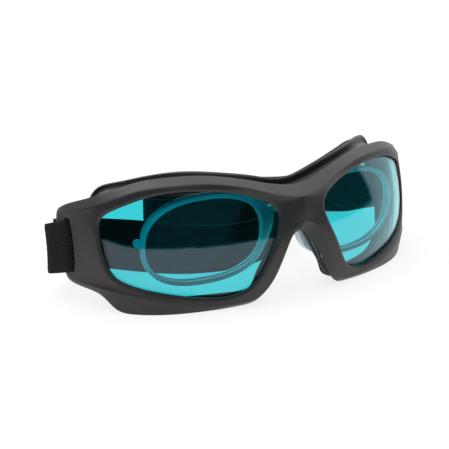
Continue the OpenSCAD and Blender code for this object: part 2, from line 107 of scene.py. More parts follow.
# Face carrier and cushion: x, y, z, share of the rim's height, share of the cushion's size
CARRIER_BACK = [
    (0, 19.4, 27.4, 1, 1), (19.9, 20.4, 31.7, 1, 1), (42.3, 31, 33.6, 1, 1),
    (57.5, 51, 27.2, 1, 1), (65, 67, 19.5, 0.8, 0.9), (76, 54, 5, 0.4, 0.8),
    (73.4, 39, -11.4, 0.2, 0.5), (56, 25, -19.8, 0.2, 0.5), (22.5, 11.8, -20.2, 0.15, 0.65),
    (13.4, 11.4, -8.8, 0.5, 0.4), (0, 11.4, 8.8, 0.5, 0.4)]
# How far the left lobe stands out from each of these points
LEFT_LOBE = [
    (0, 0, 0), (0, 0, 0), (0.5, -0.5, 0.3), (4.5, -5, 4.6), (10, -12, 7.6), (4, -2, 6), (0, 0, 2),
    (0, 0, 0), (0, 0, 0), (0, 0, 0), (0, 0, 0)]
# Front edge of the carrier by the nose: along, up, forward
CARRIER_NOSE = [(21.4, -17.6, -4.6), (14, -11.5, -5.2), (8.8, -0.5, -5.4), (0, 8.8, -5.5)]
# Before that it follows the eye opening, from the first of these points to the last
CARRIER_FIRST = 2
CARRIER_LAST = 16
CARRIER_WALL = 2.0
RIM_H = 2.6
RIM_T = 1.6
CUSHION_T = 6.0
CUSHION_W = 5.0
RING_STEPS = 2

# Prescription insert
RX_HALF_W = 26.5
RX_HALF_H = 17.0
RX_RIM = 2.2
RX_DEPTH = 4.0
RX_LENS_T = 1.8
RX_EYE = (36.7, 22.0, 5.8)
RX_TURN = math.radians(6.4)
RX_GROOVE = 0.85
RX_GROOVE_PLAY = 0.15
# At 1 its openings would be ellipses; below 1 they are squarer
RX_POWER = 0.84
RX_WEB = 4.6
RX_SLIM = 0.8
RX_BRIDGE_X = 11.0
RX_BRIDGE_UP = 6.8
RX_BRIDGE_H = 3.0
RX_BRIDGE_T = 2.6
RX_BRIDGE_BEND = 0.8
TONGUE_W = 9.0
TONGUE_T = 2.0
TONGUE_END = 7.6
RX_PEG_OUT = 28.9
RX_PEG_R = 1.7
RX_PEG_UP = 2.0
RX_PEG_T = 2.0

# Strap: seen from above, from the fold behind the right temple to the left one
STRAP_W = 20.5
STRAP_T = 1.6
STRAP_GAP = 0.25
SLOPE_RIGHT = 0.26
SLOPE_LEFT = 0.36
STRAP_PATH = [
    (-90.9, 55.9), (-87.6, 60.6), (-83, 66.4), (-77.4, 72.6), (-71.5, 77.2), (-65, 78.6),
    (-58.5, 76), (-52, 70.6), (-46, 65), (-38, 58), (-28, 51), (-14, 46), (0, 45.2), (12, 48.6),
    (24, 55.4), (33, 61.4), (34.4, 67.6), (25, 74), (8, 82.6), (-8, 90.4), (-18.6, 97),
    (-20.6, 103.6), (-14.6, 107.9), (-6, 108.6), (2, 107.4), (10, 106.2), (18, 105), (26, 103.8),
    (34, 102.6), (42, 101.4), (53, 99.4), (64, 95.8), (74, 90.6), (81.6, 82.6), (86.6, 73),
    (89.4, 64), (91.4, 57)]
# Its sewn end behind each temple, from the tip to the bar
STRAP_END = [(78.9, 68.5), (81.6, 65.3), (84.4, 61.6), (86.4, 57.4)]
# The point of STRAP_PATH where the adjuster sits
SLIDER_STATION = 26


def placed(points):
    """Points on the wearer, in millimetres, as points of the part, in metres."""
    return (np.asarray(points, float) + (0, -ORIGIN_Y, EYE_LINE)) / 1000


def lerp(a, b, t):
    return a + (b - a) * t


def spline(a, b, c, d, t):
    a, b, c, d = (np.asarray(v, float) for v in (a, b, c, d))
    return 0.5 * (2 * b + (c - a) * t + (2 * a - 5 * b + 4 * c - d) * t ** 2
                  + (3 * b - a - 3 * c + d) * t ** 3)


def loop_curve(p, n):
    m = len(p)
    return np.array([spline(p[k - 1], p[k], p[(k + 1) % m], p[(k + 2) % m], i / n)
                     for k in range(m) for i in range(n)])


def mirrored(p):
    return (-p[0], *p[1:])


def half_curve(p, n):
    """A curve that starts and ends in the mirror plane and meets its mirror image smoothly."""
    m = len(p) - 1
    out = []
    for i in range(m * n + 1):
        k = min(i // n, m - 1)
        before = mirrored(p[1]) if k == 0 else p[k - 1]
        after = mirrored(p[m - 1]) if k == m - 1 else p[k + 2]
        out.append(spline(before, p[k], p[k + 1], after, i / n - k))
    return np.array(out)


def open_curve(p, n):
    m = len(p) - 1
    out = []
    for i in range(m * n + 1):
        k = min(i // n, m - 1)
        out.append(spline(p[max(k - 1, 0)], p[k], p[k + 1], p[min(k + 2, m)], i / n - k))
    return np.array(out)


def wrap_turn(s):
    c = min(s, ARM_START)
    return c / WRAP_R + WRAP_TIGHTEN * c ** 3 / 3


def wrap_plan(s):
    c = min(s, ARM_START)
    turns = [wrap_turn(c * at) for at in GAUSS_AT]
    end = wrap_turn(c)
    return (c * sum(by * math.cos(a) for by, a in zip(GAUSS_BY, turns)) + (s - c) * math.cos(end),
            c * sum(by * math.sin(a) for by, a in zip(GAUSS_BY, turns)) + (s - c) * math.sin(end))


def bow(z):
    return z * z / (2 * BOW_R) + LEAN * z


def on_wrap(s, z, d):
    x, y = wrap_plan(s)
    a = wrap_turn(s)
    return (x + d * math.sin(a), y - d * math.cos(a) + bow(z), z)


def grown(outline, i, g):
    """Point i of a closed outline, moved outward by g."""
    t = outline[(i + 1) % len(outline)] - outline[i - 1]
    return outline[i] + g * np.array((-t[1], t[0])) / np.hypot(*t)


def link(name, points, faces):
    mesh = bpy.data.meshes.new(name)
    mesh.from_pydata(placed(points).tolist(), [], faces)
    obj = bpy.data.objects.new(name, mesh)
    bpy.context.scene.collection.objects.link(obj)
    return obj


def settle(obj):
    """Turns the modifiers into the mesh."""
    bpy.context.view_layer.update()
    deps = bpy.context.evaluated_depsgraph_get()
    mesh = bpy.data.meshes.new_from_object(obj.evaluated_get(deps))
    obj.modifiers.clear()
    old = obj.data
    obj.data = mesh
    bpy.data.meshes.remove(old)


def crease(obj, edges):
    """edges: pairs of vertices with how sharp their edge stays, from 0 to 1."""
    layer = obj.data.attributes.new("crease_edge", "FLOAT", "EDGE")
    for edge in obj.data.edges:
        layer.data[edge.index].value = edges.get(frozenset(edge.vertices), 0)


def rounded(obj):
    smooth = obj.modifiers.new("Smooth", "SUBSURF")
    smooth.levels = 2
    settle(obj)


def shade(obj, angle):
    """Smooth shading, with edges sharper than angle kept sharp."""
    bm = bmesh.new()
    bm.from_mesh(obj.data)
    bmesh.ops.recalc_face_normals(bm, faces=bm.faces)
    for face in bm.faces:
        face.smooth = True
    for edge in bm.edges:
        edge.smooth = len(edge.link_faces) == 2 and edge.calc_face_angle(0) < math.radians(angle)
    bm.to_mesh(obj.data)
    bm.free()


def finish_piece(obj, body, nodes, material):
    obj.data.materials.clear()
    obj.data.materials.append(material)
    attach(obj, body)
    if nodes:
        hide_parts(*nodes)


def ring_tube(n, m, closed=True):
    """Quads of a tube of n rings with m points each."""
    return [(i * m + j, i * m + (j + 1) % m, (i + 1) % n * m + (j + 1) % m, (i + 1) % n * m + j)
            for i in range(n if closed else n - 1) for j in range(m)]


def along_edges(n, m, sharp):
    """Creases that run along a closed tube, by the point of the ring that they pass through."""
    return {frozenset((i * m + j, (i + 1) % n * m + j)): value
            for i in range(n) for j, value in sharp.items()}


class Tree:
    """A few short cuts for building nodes."""

    def __init__(self, tree):
        self.tree = tree

    def add(self, kind, **values):
        node = self.tree.nodes.new(kind)
        for key, value in values.items():
            setattr(node, key, value)
        return node

    def wire(self, source, target):
        self.tree.links.new(source, target)

    def math(self, operation, a, b=None):
        node = self.add("ShaderNodeMath", operation=operation)
        for k, value in enumerate((a, b)):
            if value is None:
                continue
            if isinstance(value, (int, float)):
                node.inputs[k].default_value = value
            else:
                self.wire(value, node.inputs[k])
        return node.outputs[0]

    def ramp(self, value, start, end, low=0.0, high=1.0, kind="LINEAR"):
        """From low where value is start to high where it is end."""
        node = self.add("ShaderNodeMapRange", interpolation_type=kind)
        self.wire(value, node.inputs["Value"])
        for key, number in (("From Min", start), ("From Max", end), ("To Min", low), ("To Max", high)):
            node.inputs[key].default_value = number
        return node.outputs["Result"]

    def parts(self, vector):
        split = self.add("ShaderNodeSeparateXYZ")
        self.wire(vector, split.inputs[0])
        return split.outputs


class Nodes(Tree):
    """A material's nodes, around its own shader."""

    def __init__(self, name):
        self.material = bpy.data.materials.new(name)
        self.material.use_nodes = True
        super().__init__(self.material.node_tree)
        self.shader = self.tree.nodes["Principled BSDF"]
        self.output = self.tree.nodes["Material Output"]

    def noise(self, scale, detail=2.0, roughness=0.5):
        node = self.add("ShaderNodeTexNoise")
        node.inputs["Scale"].default_value = scale
        node.inputs["Detail"].default_value = detail
        node.inputs["Roughness"].default_value = roughness
        self.wire(self.position(), node.inputs["Vector"])
        return node.outputs["Fac"]

    def position(self):
        """The place in the part's frame, in metres."""
        return self.add("ShaderNodeTexCoord").outputs["Object"]

    def roughness(self, value, low, high):
        """Roughness between low and high, by a value from 0 to 1."""
        self.wire(self.ramp(value, 0, 1, low, high), self.shader.inputs["Roughness"])

    def tint(self, value, dark, light):
        """A colour between dark and light, by value, into the base colour."""
        node = self.add("ShaderNodeMix", data_type="RGBA")
        self.wire(value, node.inputs[0])
        node.inputs[6].default_value = (*dark, 1)
        node.inputs[7].default_value = (*light, 1)
        self.wire(node.outputs[2], self.shader.inputs["Base Color"])

    def bump(self, height, distance):
        node = self.add("ShaderNodeBump")
        node.inputs["Distance"].default_value = distance
        node.inputs["Strength"].default_value = 1.0
        self.wire(height, node.inputs["Height"])
        self.wire(node.outputs["Normal"], self.shader.inputs["Normal"])

    def put(self, **values):
        for key, value in values.items():
            self.shader.inputs[key.replace("_", " ")].default_value = value


def lamps_pass(m, tint):
    """Lets light from lamps and diffuse light through a glass material, tinted."""
    path = m.add("ShaderNodeLightPath")
    clear = m.add("ShaderNodeBsdfTransparent")
    clear.inputs["Color"].default_value = (*tint, 1)
    either = m.math("MAXIMUM", path.outputs["Is Shadow Ray"], path.outputs["Is Diffuse Ray"])
    mix = m.add("ShaderNodeMixShader")
    m.wire(either, mix.inputs[0])
    m.wire(m.shader.outputs[0], mix.inputs[1])
    m.wire(clear.outputs[0], mix.inputs[2])
    m.wire(mix.outputs[0], m.output.inputs["Surface"])


# Scales of the noise that clouds a colour and that varies its gloss
CLOUD = 90
GLOSS_PATCH = 240


def moulded(name, rough, grain, depth):
    """Moulded plastic or rubber with a fine grain, of the given scale and depth in metres."""
    m = Nodes(name)
    m.roughness(m.noise(GLOSS_PATCH), *rough)
    m.bump(m.noise(grain), depth)
    return m


def clouded(name, dark, light, rough, grain, depth):
    """The same, in one colour that varies a little."""
    m = moulded(name, rough, grain, depth)
    m.tint(m.noise(CLOUD, detail=3), dark, light)
    return m


def shell_material():
    m = clouded("satin_shell", (0.019, 0.019, 0.0195), (0.024, 0.024, 0.0245), (0.36, 0.44), 4200, 0.00001)
    m.put(IOR=1.5, Specular_IOR_Level=0.45)
    return m.material


# Colours of the carrier, its painted shade and its pale grey, and where one turns into the other: the painted
# shade in the channel over the left brow ends towards the right brow and towards the left temple, and the
# nose part ends below the brow
CARRIER_PAINTED_SHADE = (0.012, 0.013, 0.014)
CARRIER_PALE = (0.085, 0.095, 0.105)
CHANNEL_RIGHT = (-0.022, -0.008)
CHANNEL_LEFT = (0.055, 0.045)
NOSE_TOP = (0.037, 0.031)
SIDE_SHARE = 0.55


def carrier_material():
    """Grey rubber, palest round the nose, part way dark on the sides, and darkest in the channel over the
    left brow, where the dark is painted shade.
    """
    m = moulded("soft_carrier", (0.5, 0.6), 2600, 0.00002)
    x, _, z = m.parts(m.position())
    # Painted shade: the dark colour fills the channel over the left brow
    channel_shade = m.math("MULTIPLY", m.ramp(x, *CHANNEL_RIGHT), m.ramp(x, *CHANNEL_LEFT))
    sides = m.math("MULTIPLY", m.math("SUBTRACT", 1.0, channel_shade), SIDE_SHARE)
    middle = m.ramp(m.math("ABSOLUTE", x), *CHANNEL_LEFT)
    nose = m.math("MULTIPLY", middle, m.ramp(z, *NOSE_TOP))
    m.tint(m.math("MAXIMUM", nose, sides), CARRIER_PAINTED_SHADE, CARRIER_PALE)
    return m.material


def foam_material():
    m = clouded("cushion_foam", (0.012, 0.012, 0.013), (0.024, 0.024, 0.025), (0.85, 0.95), 1700, 0.00012)
    m.put(Sheen_Weight=0.06, Sheen_Roughness=0.5, Specular_IOR_Level=0.2)
    return m.material


def slider_material():
    dark, light = (0.018, 0.018, 0.019), (0.024, 0.024, 0.025)
    return clouded("slider_plastic", dark, light, (0.28, 0.34), 3000, 0.00001).material


FILTER_TINT = (0.045, 0.64, 0.71)


def filter_material():
    m = Nodes("filter_glass")
    m.put(Base_Color=(*FILTER_TINT, 1), Roughness=0.0, IOR=1.58, Transmission_Weight=1.0,
          Specular_Tint=(1.0, 0.9, 1.0, 1))
    lamps_pass(m, FILTER_TINT)
    return m.material


def insert_material():
    m = Nodes("clear_insert_painted_glow")
    # Painted glow: the clear rims are drawn near-white and mostly opaque, standing in for the light that
    # edge-lit clear plastic carries
    m.put(Base_Color=(0.88, 0.96, 0.99, 1), IOR=1.49, Transmission_Weight=0.1)
    m.roughness(m.noise(500), 0.15, 0.25)
    lamps_pass(m, (0.9, 0.97, 0.98))
    return m.material


def insert_lens_material():
    m = Nodes("clear_lens")
    m.put(Base_Color=(0.97, 0.99, 1.0, 1), Roughness=0.0, IOR=1.22, Transmission_Weight=1.0)
    lamps_pass(m, (0.95, 0.98, 0.99))
    return m.material


# Webbing: width of a rib, length of a pick, share of the pick in the height, and shares of weave and fuzz
WEAVE_RIB = 0.00105
WEAVE_PICK = 0.0011
PICK_SHARE = 0.4
WEAVE_SHARE = 0.75
FUZZ_SHARE = 0.5
# Painted shade: the pass behind the lenses is darker and flatter than the rest, by this share; the rest
# begins at this distance from the mirror plane, or this far back
FRONT_SHADE_SHARE = 0.14
UNSHADED_ASIDE = (0.068, 0.08)
UNSHADED_BACK = (0.022, 0.03)


def webbing_material():
    """Elastic webbing: fine ribs along it, crossed by the picks of the weave, with painted shade on the pass
    behind the lenses.
    """
    m = Nodes("webbing_weave")
    along, across, _ = m.parts(m.add("ShaderNodeUVMap", uv_map="weave").outputs[0])
    rib = m.math("MULTIPLY", across, 1 / WEAVE_RIB)
    within = m.math("SINE", m.math("MULTIPLY", m.math("FRACT", rib), math.pi))
    shift = m.math("MULTIPLY", m.math("FLOOR", rib), math.pi)
    pick = m.math("SINE", m.math("ADD", m.math("MULTIPLY", along, math.tau / WEAVE_PICK), shift))
    weave = m.math("MULTIPLY", within, m.math("ADD", m.math("MULTIPLY", pick, PICK_SHARE), 1 - PICK_SHARE))
    fuzz = m.noise(1500, detail=3, roughness=0.7)
    high = m.math("ADD", m.math("MULTIPLY", weave, WEAVE_SHARE), m.math("MULTIPLY", fuzz, FUZZ_SHARE))
    x, back, _ = m.parts(m.position())
    # Painted shade: the webbing's pass behind the lenses is darker and flatter than the rest
    rest = m.math("MAXIMUM", m.ramp(m.math("ABSOLUTE", x), *UNSHADED_ASIDE), m.ramp(back, *UNSHADED_BACK))
    height = m.math("MULTIPLY", high, m.ramp(rest, 0, 1, FRONT_SHADE_SHARE, 1))
    m.tint(height, (0.0012, 0.0013, 0.0015), (0.0135, 0.014, 0.016))
    m.put(Roughness=0.82, Specular_IOR_Level=0.2)
    m.bump(height, 0.0003)
    return m.material


def thread_material():
    dark, light = (0.012, 0.012, 0.013), (0.03, 0.03, 0.032)
    return clouded("stitch_thread", dark, light, (0.6, 0.75), 5000, 0.00004).material


# Section of the front frame: inner lip, chamfer top, face, both sides of the outer edge, wall, back
# edge, inner side, hollow, pocket wall, pocket back, pocket front, lip back
SECTION_N = 13
SHARP = {0: 0.9, 1: 0.8, 3: 0.9, 4: 0.9, 6: 0.6, 7: 0.6, 9: 0.6, 10: 0.9, 11: 1.0, 12: 1.0}
# The points of the section that both halves share in the mirror plane
SEAM_FIRST = 3
SEAM_LAST = 7
# Other points stay this far off the mirror plane. A back edge this close to the floor goes straight back
OFF_MIDDLE = 0.3
FLOOR_BAND = 0.6
# Width of the round on each side of the outer edge, and how far the wall bulges
EDGE_ROUND = 0.3
WALL_CROWN = 0.1
# The back is hollow where the frame is wider than this, deeper by this rate, up to this depth
HOLLOW_FROM = 6
HOLLOW_RATE = 0.25
HOLLOW_MAX = 1.7


def frame_piece(material):
    steps = FRAME_STEPS
    outline = loop_curve(OPENING, steps)
    n = len(outline)
    last = len(CREASE) - 1
    seam = last * steps

    def edge_curve(p):
        rest = n - seam
        up = [lerp(np.array(p[last], float), np.array(p[0], float), i / rest) for i in range(1, rest)]
        return np.vstack([half_curve(p, steps), up])

    outer, rear = edge_curve(CREASE), edge_curve(REAR_EDGE)

    def in_seam(i):
        return i % n >= seam or i % n == 0

    def kept(p, i):
        """The point, kept in or beside the mirror plane and above the floor."""
        return np.array((0 if in_seam(i) else max(p[0], OFF_MIDDLE), max(p[1], FLOOR_Z), p[2]))

    points = []
    for i in range(n):
        a = outline[i]
        b = grown(outline, i, LIP_CHAMFER)
        c, d = kept(outer[i], i), kept(rear[i], i)
        v = (a - d[:2]) / np.hypot(*(a - d[:2]))
        if d[1] <= FLOOR_Z + FLOOR_BAND:
            e = np.array((d[0], d[1], d[2] - FRAME_WALL))
        elif in_seam(i):
            shift = -FRAME_WALL if i == 0 else FRAME_WALL if i == seam else 0
            e = np.array((0, d[1] + shift, d[2] - EDGE_SLANT))
        else:
            e = np.array((*(d[:2] + v * FRAME_WALL), d[2] - EDGE_SLANT))
        pocket = grown(outline, i, LENS_OVERLAP + LENS_GAP)
        g = grown(outline, i, LENS_OVERLAP + LENS_GAP + POCKET_WALL)
        back = -LIP_WALL - POCKET_DEPTH
        span = np.hypot(*(c[:2] - a))
        hollow = min(max(span - HOLLOW_FROM, 0) * HOLLOW_RATE, HOLLOW_MAX)
        face = ((b[0] + c[0]) / 2, (b[1] + c[1]) / 2, (LIP_RISE + c[2]) / 2)
        wall = kept((c + d) / 2 - (*(v * WALL_CROWN), 0), i)
        inner, outside = toward(c, face), toward(c, wall)
        if in_seam(i):
            inner[0] = outside[0] = 0
        section = [(*a, 0), (*b, LIP_RISE), face, inner, outside, wall, d, e,
                   ((e[0] + g[0]) / 2, (e[1] + g[1]) / 2, (e[2] + back) / 2 + hollow),
                   (*g, back), (*pocket, back), (*pocket, -LIP_WALL), (*a, -LIP_WALL)]
        points += [on_wrap(*q) for q in section]
    points += [mirrored(p) for p in points]

    def vertex(side, i, j):
        k = i % n
        shared = in_seam(k) and SEAM_FIRST <= j <= SEAM_LAST
        return (0 if shared else side) * n * SECTION_N + k * SECTION_N + j

    faces, edges = [], {}
    for side in (0, 1):
        for i in range(n):
            both = in_seam(i) and in_seam(i + 1)
            for j in range(SECTION_N):
                after = (j + 1) % SECTION_N
                if not (both and SEAM_FIRST <= j < SEAM_LAST):
                    faces.append((vertex(side, i, j), vertex(side, i, after),
                                  vertex(side, i + 1, after), vertex(side, i + 1, j)))
                if j in SHARP and not (both and SEAM_FIRST <= j <= SEAM_LAST):
                    edges[frozenset((vertex(side, i, j), vertex(side, i + 1, j)))] = SHARP[j]
    used = sorted({v for face in faces for v in face})
    number = {v: k for k, v in enumerate(used)}
    obj = link("frame_shell", [points[v] for v in used], [[number[v] for v in face] for face in faces])
    crease(obj, {frozenset(number[v] for v in edge): value for edge, value in edges.items()})
    rounded(obj)
    for side in (1, -1):
        cut(obj, slot_cutter(side))
    shade(obj, 40)
    even = obj.modifiers.new("Even", "WEIGHTED_NORMAL")
    even.keep_sharp = True
    settle(obj)
    finish_piece(obj, "goggles", ["front_frame"], material)


def toward(a, b):
    """The point a narrow step from a towards b: the outer edge's round catches the light."""
    way = np.asarray(b, float) - a
    return a + way * EDGE_ROUND / np.linalg.norm(way)


SLOT_ROWS = 12
SLOT_DEPTH = 15


def slot_cutter(side):
    x, y = wrap_plan(ARM_START)
    a = wrap_turn(ARM_START)
    points = []
    for k in range(SLOT_ROWS + 1):
        z = lerp(SLOT_BOTTOM, SLOT_TOP, k / SLOT_ROWS)
        for shift, depth in ((0, -SLOT_DEPTH), (SLOT_W, -SLOT_DEPTH), (SLOT_W, SLOT_DEPTH), (0, SLOT_DEPTH)):
            t = SLOT_START - ARM_START + shift + bow(z) * math.sin(a)
            points.append((side * (x + t * math.cos(a) + depth * math.sin(a)),
                           y + t * math.sin(a) - depth * math.cos(a), z))
    faces = ring_tube(SLOT_ROWS + 1, 4, closed=False)
    faces += [(3, 2, 1, 0), tuple(SLOT_ROWS * 4 + j for j in range(4))]
    obj = link("slot_cutter", points, faces)
    shade(obj, 38)
    return obj


def cut(obj, cutter):
    hole = obj.modifiers.new("Slot", "BOOLEAN")
    hole.operation = "DIFFERENCE"
    hole.solver = "EXACT"
    hole.object = cutter
    settle(obj)
    bpy.data.objects.remove(cutter)


LENS_STEPS = 6
# Rings of a lens, from its edge towards its middle, as shares of its outline
LENS_SHRINK = (1, 0.985, 0.95, 0.9, 0.83, 0.75, 0.66, 0.56, 0.45, 0.33, 0.2, 0.09)
LENS_MID = np.array((50.0, 7.0))


def lens_piece(name, side, node, material):
    outline = loop_curve(OPENING, LENS_STEPS)
    n = len(outline)
    edge = np.array([grown(outline, i, LENS_OVERLAP) for i in range(n)])
    front = -LIP_WALL - LENS_GAP
    points = []
    for depth in (front, front - LENS_T):
        for shrink in LENS_SHRINK:
            for q in LENS_MID + shrink * (edge - LENS_MID):
                points.append(on_wrap(q[0], q[1], depth))
        points.append(on_wrap(*LENS_MID, depth))
    points = [(side * p[0], p[1], p[2]) for p in points]
    rings = len(LENS_SHRINK)
    half = rings * n + 1
    faces = []
    for base in (0, half):
        for k in range(rings - 1):
            for i in range(n):
                faces.append((base + k * n + i, base + k * n + (i + 1) % n,
                              base + (k + 1) * n + (i + 1) % n, base + (k + 1) * n + i))
        inner = base + (rings - 1) * n
        faces += [(inner + i, inner + (i + 1) % n, base + half - 1) for i in range(n)]
    faces += [(i, (i + 1) % n, half + (i + 1) % n, half + i) for i in range(n)]
    obj = link(name, points, faces)
    shade(obj, 30)
    finish_piece(obj, "goggles", [node], material)


# The cushion's back turns towards the face: this much at this distance from the mirror plane
FACE_TURN = 0.55
FACE_HALF = 65
# Gap between the frame's back and the carrier's front edge
CARRIER_SEAT = 0.08
# Front edge of the carrier over the bridge: along, up
CARRIER_BRIDGE = [(0, 23.8), (14, 26.6)]
# Its back edge stays this far above the floor
RING_CLEAR = 0.3
# The cushion is thinner where the left lobe stands up
LOBE_PRESS = 0.05


def ring_loop(left, right):
    return np.vstack([left, [mirrored(p) for p in right[-2:0:-1]]])


def ring_stations():
    """Round the ring: the given values, the back edge, the front edge and the inward directions."""
    coarse = np.array(OPENING, float)
    reach = LENS_OVERLAP + LENS_GAP + POCKET_WALL
    seat = -LIP_WALL - POCKET_DEPTH - CARRIER_SEAT
    front = [(*q, seat) for q in CARRIER_BRIDGE]
    front += [(*grown(coarse, i, reach), seat) for i in range(CARRIER_FIRST, CARRIER_LAST + 1)]
    front += CARRIER_NOSE
    steps = RING_STEPS * (len(front) - 1) // (len(CARRIER_BACK) - 1)
    left = [tuple(np.add(p, (*lobe, 0, -LOBE_PRESS * lobe[2]))) for p, lobe in zip(CARRIER_BACK, LEFT_LOBE)]
    rear = ring_loop(half_curve(left, steps), half_curve(CARRIER_BACK, steps))
    half = half_curve([on_wrap(*q) for q in front], RING_STEPS)
    fore = ring_loop(half, half)
    back = rear[:, :3].copy()
    back[:, 2] = np.maximum(back[:, 2], FLOOR_Z + RING_CLEAR)
    t = np.roll(back, -1, 0) - np.roll(back, 1, 0)
    inward = np.stack([t[:, 2], 0 * t[:, 0], -t[:, 0]], 1)
    inward /= np.linalg.norm(inward, axis=1)[:, None]
    return rear, back, fore, inward


# Creases of the carrier's section, from its front edge over the rim at the back to its inner side
CARRIER_SHARP = {0: 0.8, 1: 0.6, 2: 0.4, 3: 0.4, 4: 0.6, 5: 0.8}


def carrier_piece(material):
    rear, back, fore, inward = ring_stations()
    points = []
    for full, r, q, n in zip(rear, back, fore, inward):
        v = (q - r) / np.linalg.norm(q - r)
        rise = RIM_H * full[3]
        w = CARRIER_WALL * (0.5 + full[4] / 2)
        points += [q, r + n * rise + v * RIM_T, r + v * RIM_T, r, r + n * (rise + w), q + n * w]
    count, sides = len(back), len(CARRIER_SHARP)
    obj = link("carrier_shell", points, ring_tube(count, sides))
    crease(obj, along_edges(count, sides, CARRIER_SHARP))
    rounded(obj)
    shade(obj, 50)
    finish_piece(obj, "carrier", ["face_carrier"], material)


CUSHION_SIDES = 8
# The cushion's rounding draws it in, so it starts this far inside the carrier's back edge
CUSHION_SINK = 0.35
# Its section is squarer than a circle and pressed flat at its sides
CUSHION_POWER = 0.75
CUSHION_FULL = 1.06


def cushion_piece(material):
    rear, back, _, inward = ring_stations()
    points = []
    for full, r, n in zip(rear, back, inward):
        b = np.array((-full[0] / FACE_HALF * FACE_TURN, 1, 0))
        b /= np.linalg.norm(b)
        w, t = CUSHION_W / 2 * full[4], CUSHION_T / 2 * full[4]
        c = r + b * (t - CUSHION_SINK) + n * (w + RIM_H * full[3] - CUSHION_SINK)
        for k in range(CUSHION_SIDES):
            a = -math.tau * (k + 0.5) / CUSHION_SIDES
            u, v = (math.copysign(min(abs(x) ** CUSHION_POWER * CUSHION_FULL, 1), x)
                    for x in (math.cos(a), math.sin(a)))
            points.append(c + n * (w * u) + b * (t * v))
    obj = link("cushion_pad", points, ring_tube(len(back), CUSHION_SIDES))
    rounded(obj)
    shade(obj, 80)
    finish_piece(obj, "carrier", ["face_cushion"], material)


RX_POINTS = 96


def rx_outline(g, web=0.0, slim=0.0):
    """Outline of an opening grown by g, with a web on the upper nasal side and a slim temple side."""
    out = []
    for k in range(RX_POINTS):
        a = math.tau * k / RX_POINTS
        c, s = math.cos(a), math.sin(a)
        wide = g + web * max(-c, 0) * min(max(0.5 + 2 * s, 0), 1) - slim * max(c, 0)
        out.append((math.copysign(abs(c) ** RX_POWER, c) * (RX_HALF_W + wide),
                    math.copysign(abs(s) ** RX_POWER, s) * (RX_HALF_H + g)))
    return out


def rx_placed(x, z, depth, side=1):
    """A point of the insert's eye plane; depth is positive towards the front."""
    return (side * (RX_EYE[0] + x * math.cos(RX_TURN) + depth * math.sin(RX_TURN)),
            RX_EYE[1] + x * math.sin(RX_TURN) - depth * math.cos(RX_TURN), RX_EYE[2] + z)


def shifted(faces, base):
    """Faces of a piece whose points start at base."""
    return [tuple(base + v for v in face) for face in faces]


def bar(points, faces, edges, rings, sharp):
    """Adds a closed bar through rings of four points to a mesh in the making."""
    base = len(points)
    points += [p for ring in rings for p in ring]
    n = len(rings)
    faces += shifted(ring_tube(n, 4, closed=False), base)
    faces += shifted([(3, 2, 1, 0), [(n - 1) * 4 + j for j in range(4)]], base)
    for i in range(n):
        for j in range(4):
            if i + 1 < n:
                edges[frozenset((base + i * 4 + j, base + i * 4 + 4 + j))] = sharp
            if i in (0, n - 1):
                edges[frozenset((base + i * 4 + j, base + i * 4 + (j + 1) % 4))] = sharp


PEG_SIDES = 12
PEG_SHARP = 0.55


def peg(points, faces, edges, side):
    """Adds the round peg at the temple end of a rim, as a short upright disc."""
    base = len(points)
    for depth in (0, -RX_PEG_T):
        for k in range(PEG_SIDES):
            a = math.tau * k / PEG_SIDES
            points.append(rx_placed(RX_PEG_OUT + RX_PEG_R * math.cos(a), RX_PEG_UP + RX_PEG_R * math.sin(a),
                                    depth, side))
    faces += shifted(ring_tube(2, PEG_SIDES, closed=False), base)
    for start in (base, base + PEG_SIDES):
        faces.append(tuple(start + k for k in range(PEG_SIDES)))
        for k in range(PEG_SIDES):
            edges[frozenset((start + k, start + (k + 1) % PEG_SIDES))] = PEG_SHARP


# Creases of a rim's section: both outer edges, an inner edge, the lens groove and the other inner edge
RIM_SHARP = {0: 0.35, 1: 0.35, 2: 0.4, 3: 1, 4: 1, 5: 1, 6: 1, 7: 0.4}
BRIDGE_RINGS = 7
BRIDGE_SHARP = 0.5
TONGUE_SHARP = 0.6


def rim(points, faces, edges, side):
    """Adds one rim with its lens groove."""
    half = RX_DEPTH / 2
    groove = RX_LENS_T / 2 + RX_GROOVE_PLAY
    profile = [(RX_RIM, -half), (RX_RIM, half), (0, half), (0, groove), (RX_GROOVE, groove),
               (RX_GROOVE, -groove), (0, -groove), (0, -half)]
    lines = [rx_outline(g, RX_WEB, RX_SLIM) if g == RX_RIM else rx_outline(g) for g, _ in profile]
    base = len(points)
    for k in range(RX_POINTS):
        points += [rx_placed(*line[k], depth, side) for line, (_, depth) in zip(lines, profile)]
    faces += shifted(ring_tube(RX_POINTS, len(profile)), base)
    for pair, value in along_edges(RX_POINTS, len(profile), RIM_SHARP).items():
        edges[frozenset(base + v for v in pair)] = value


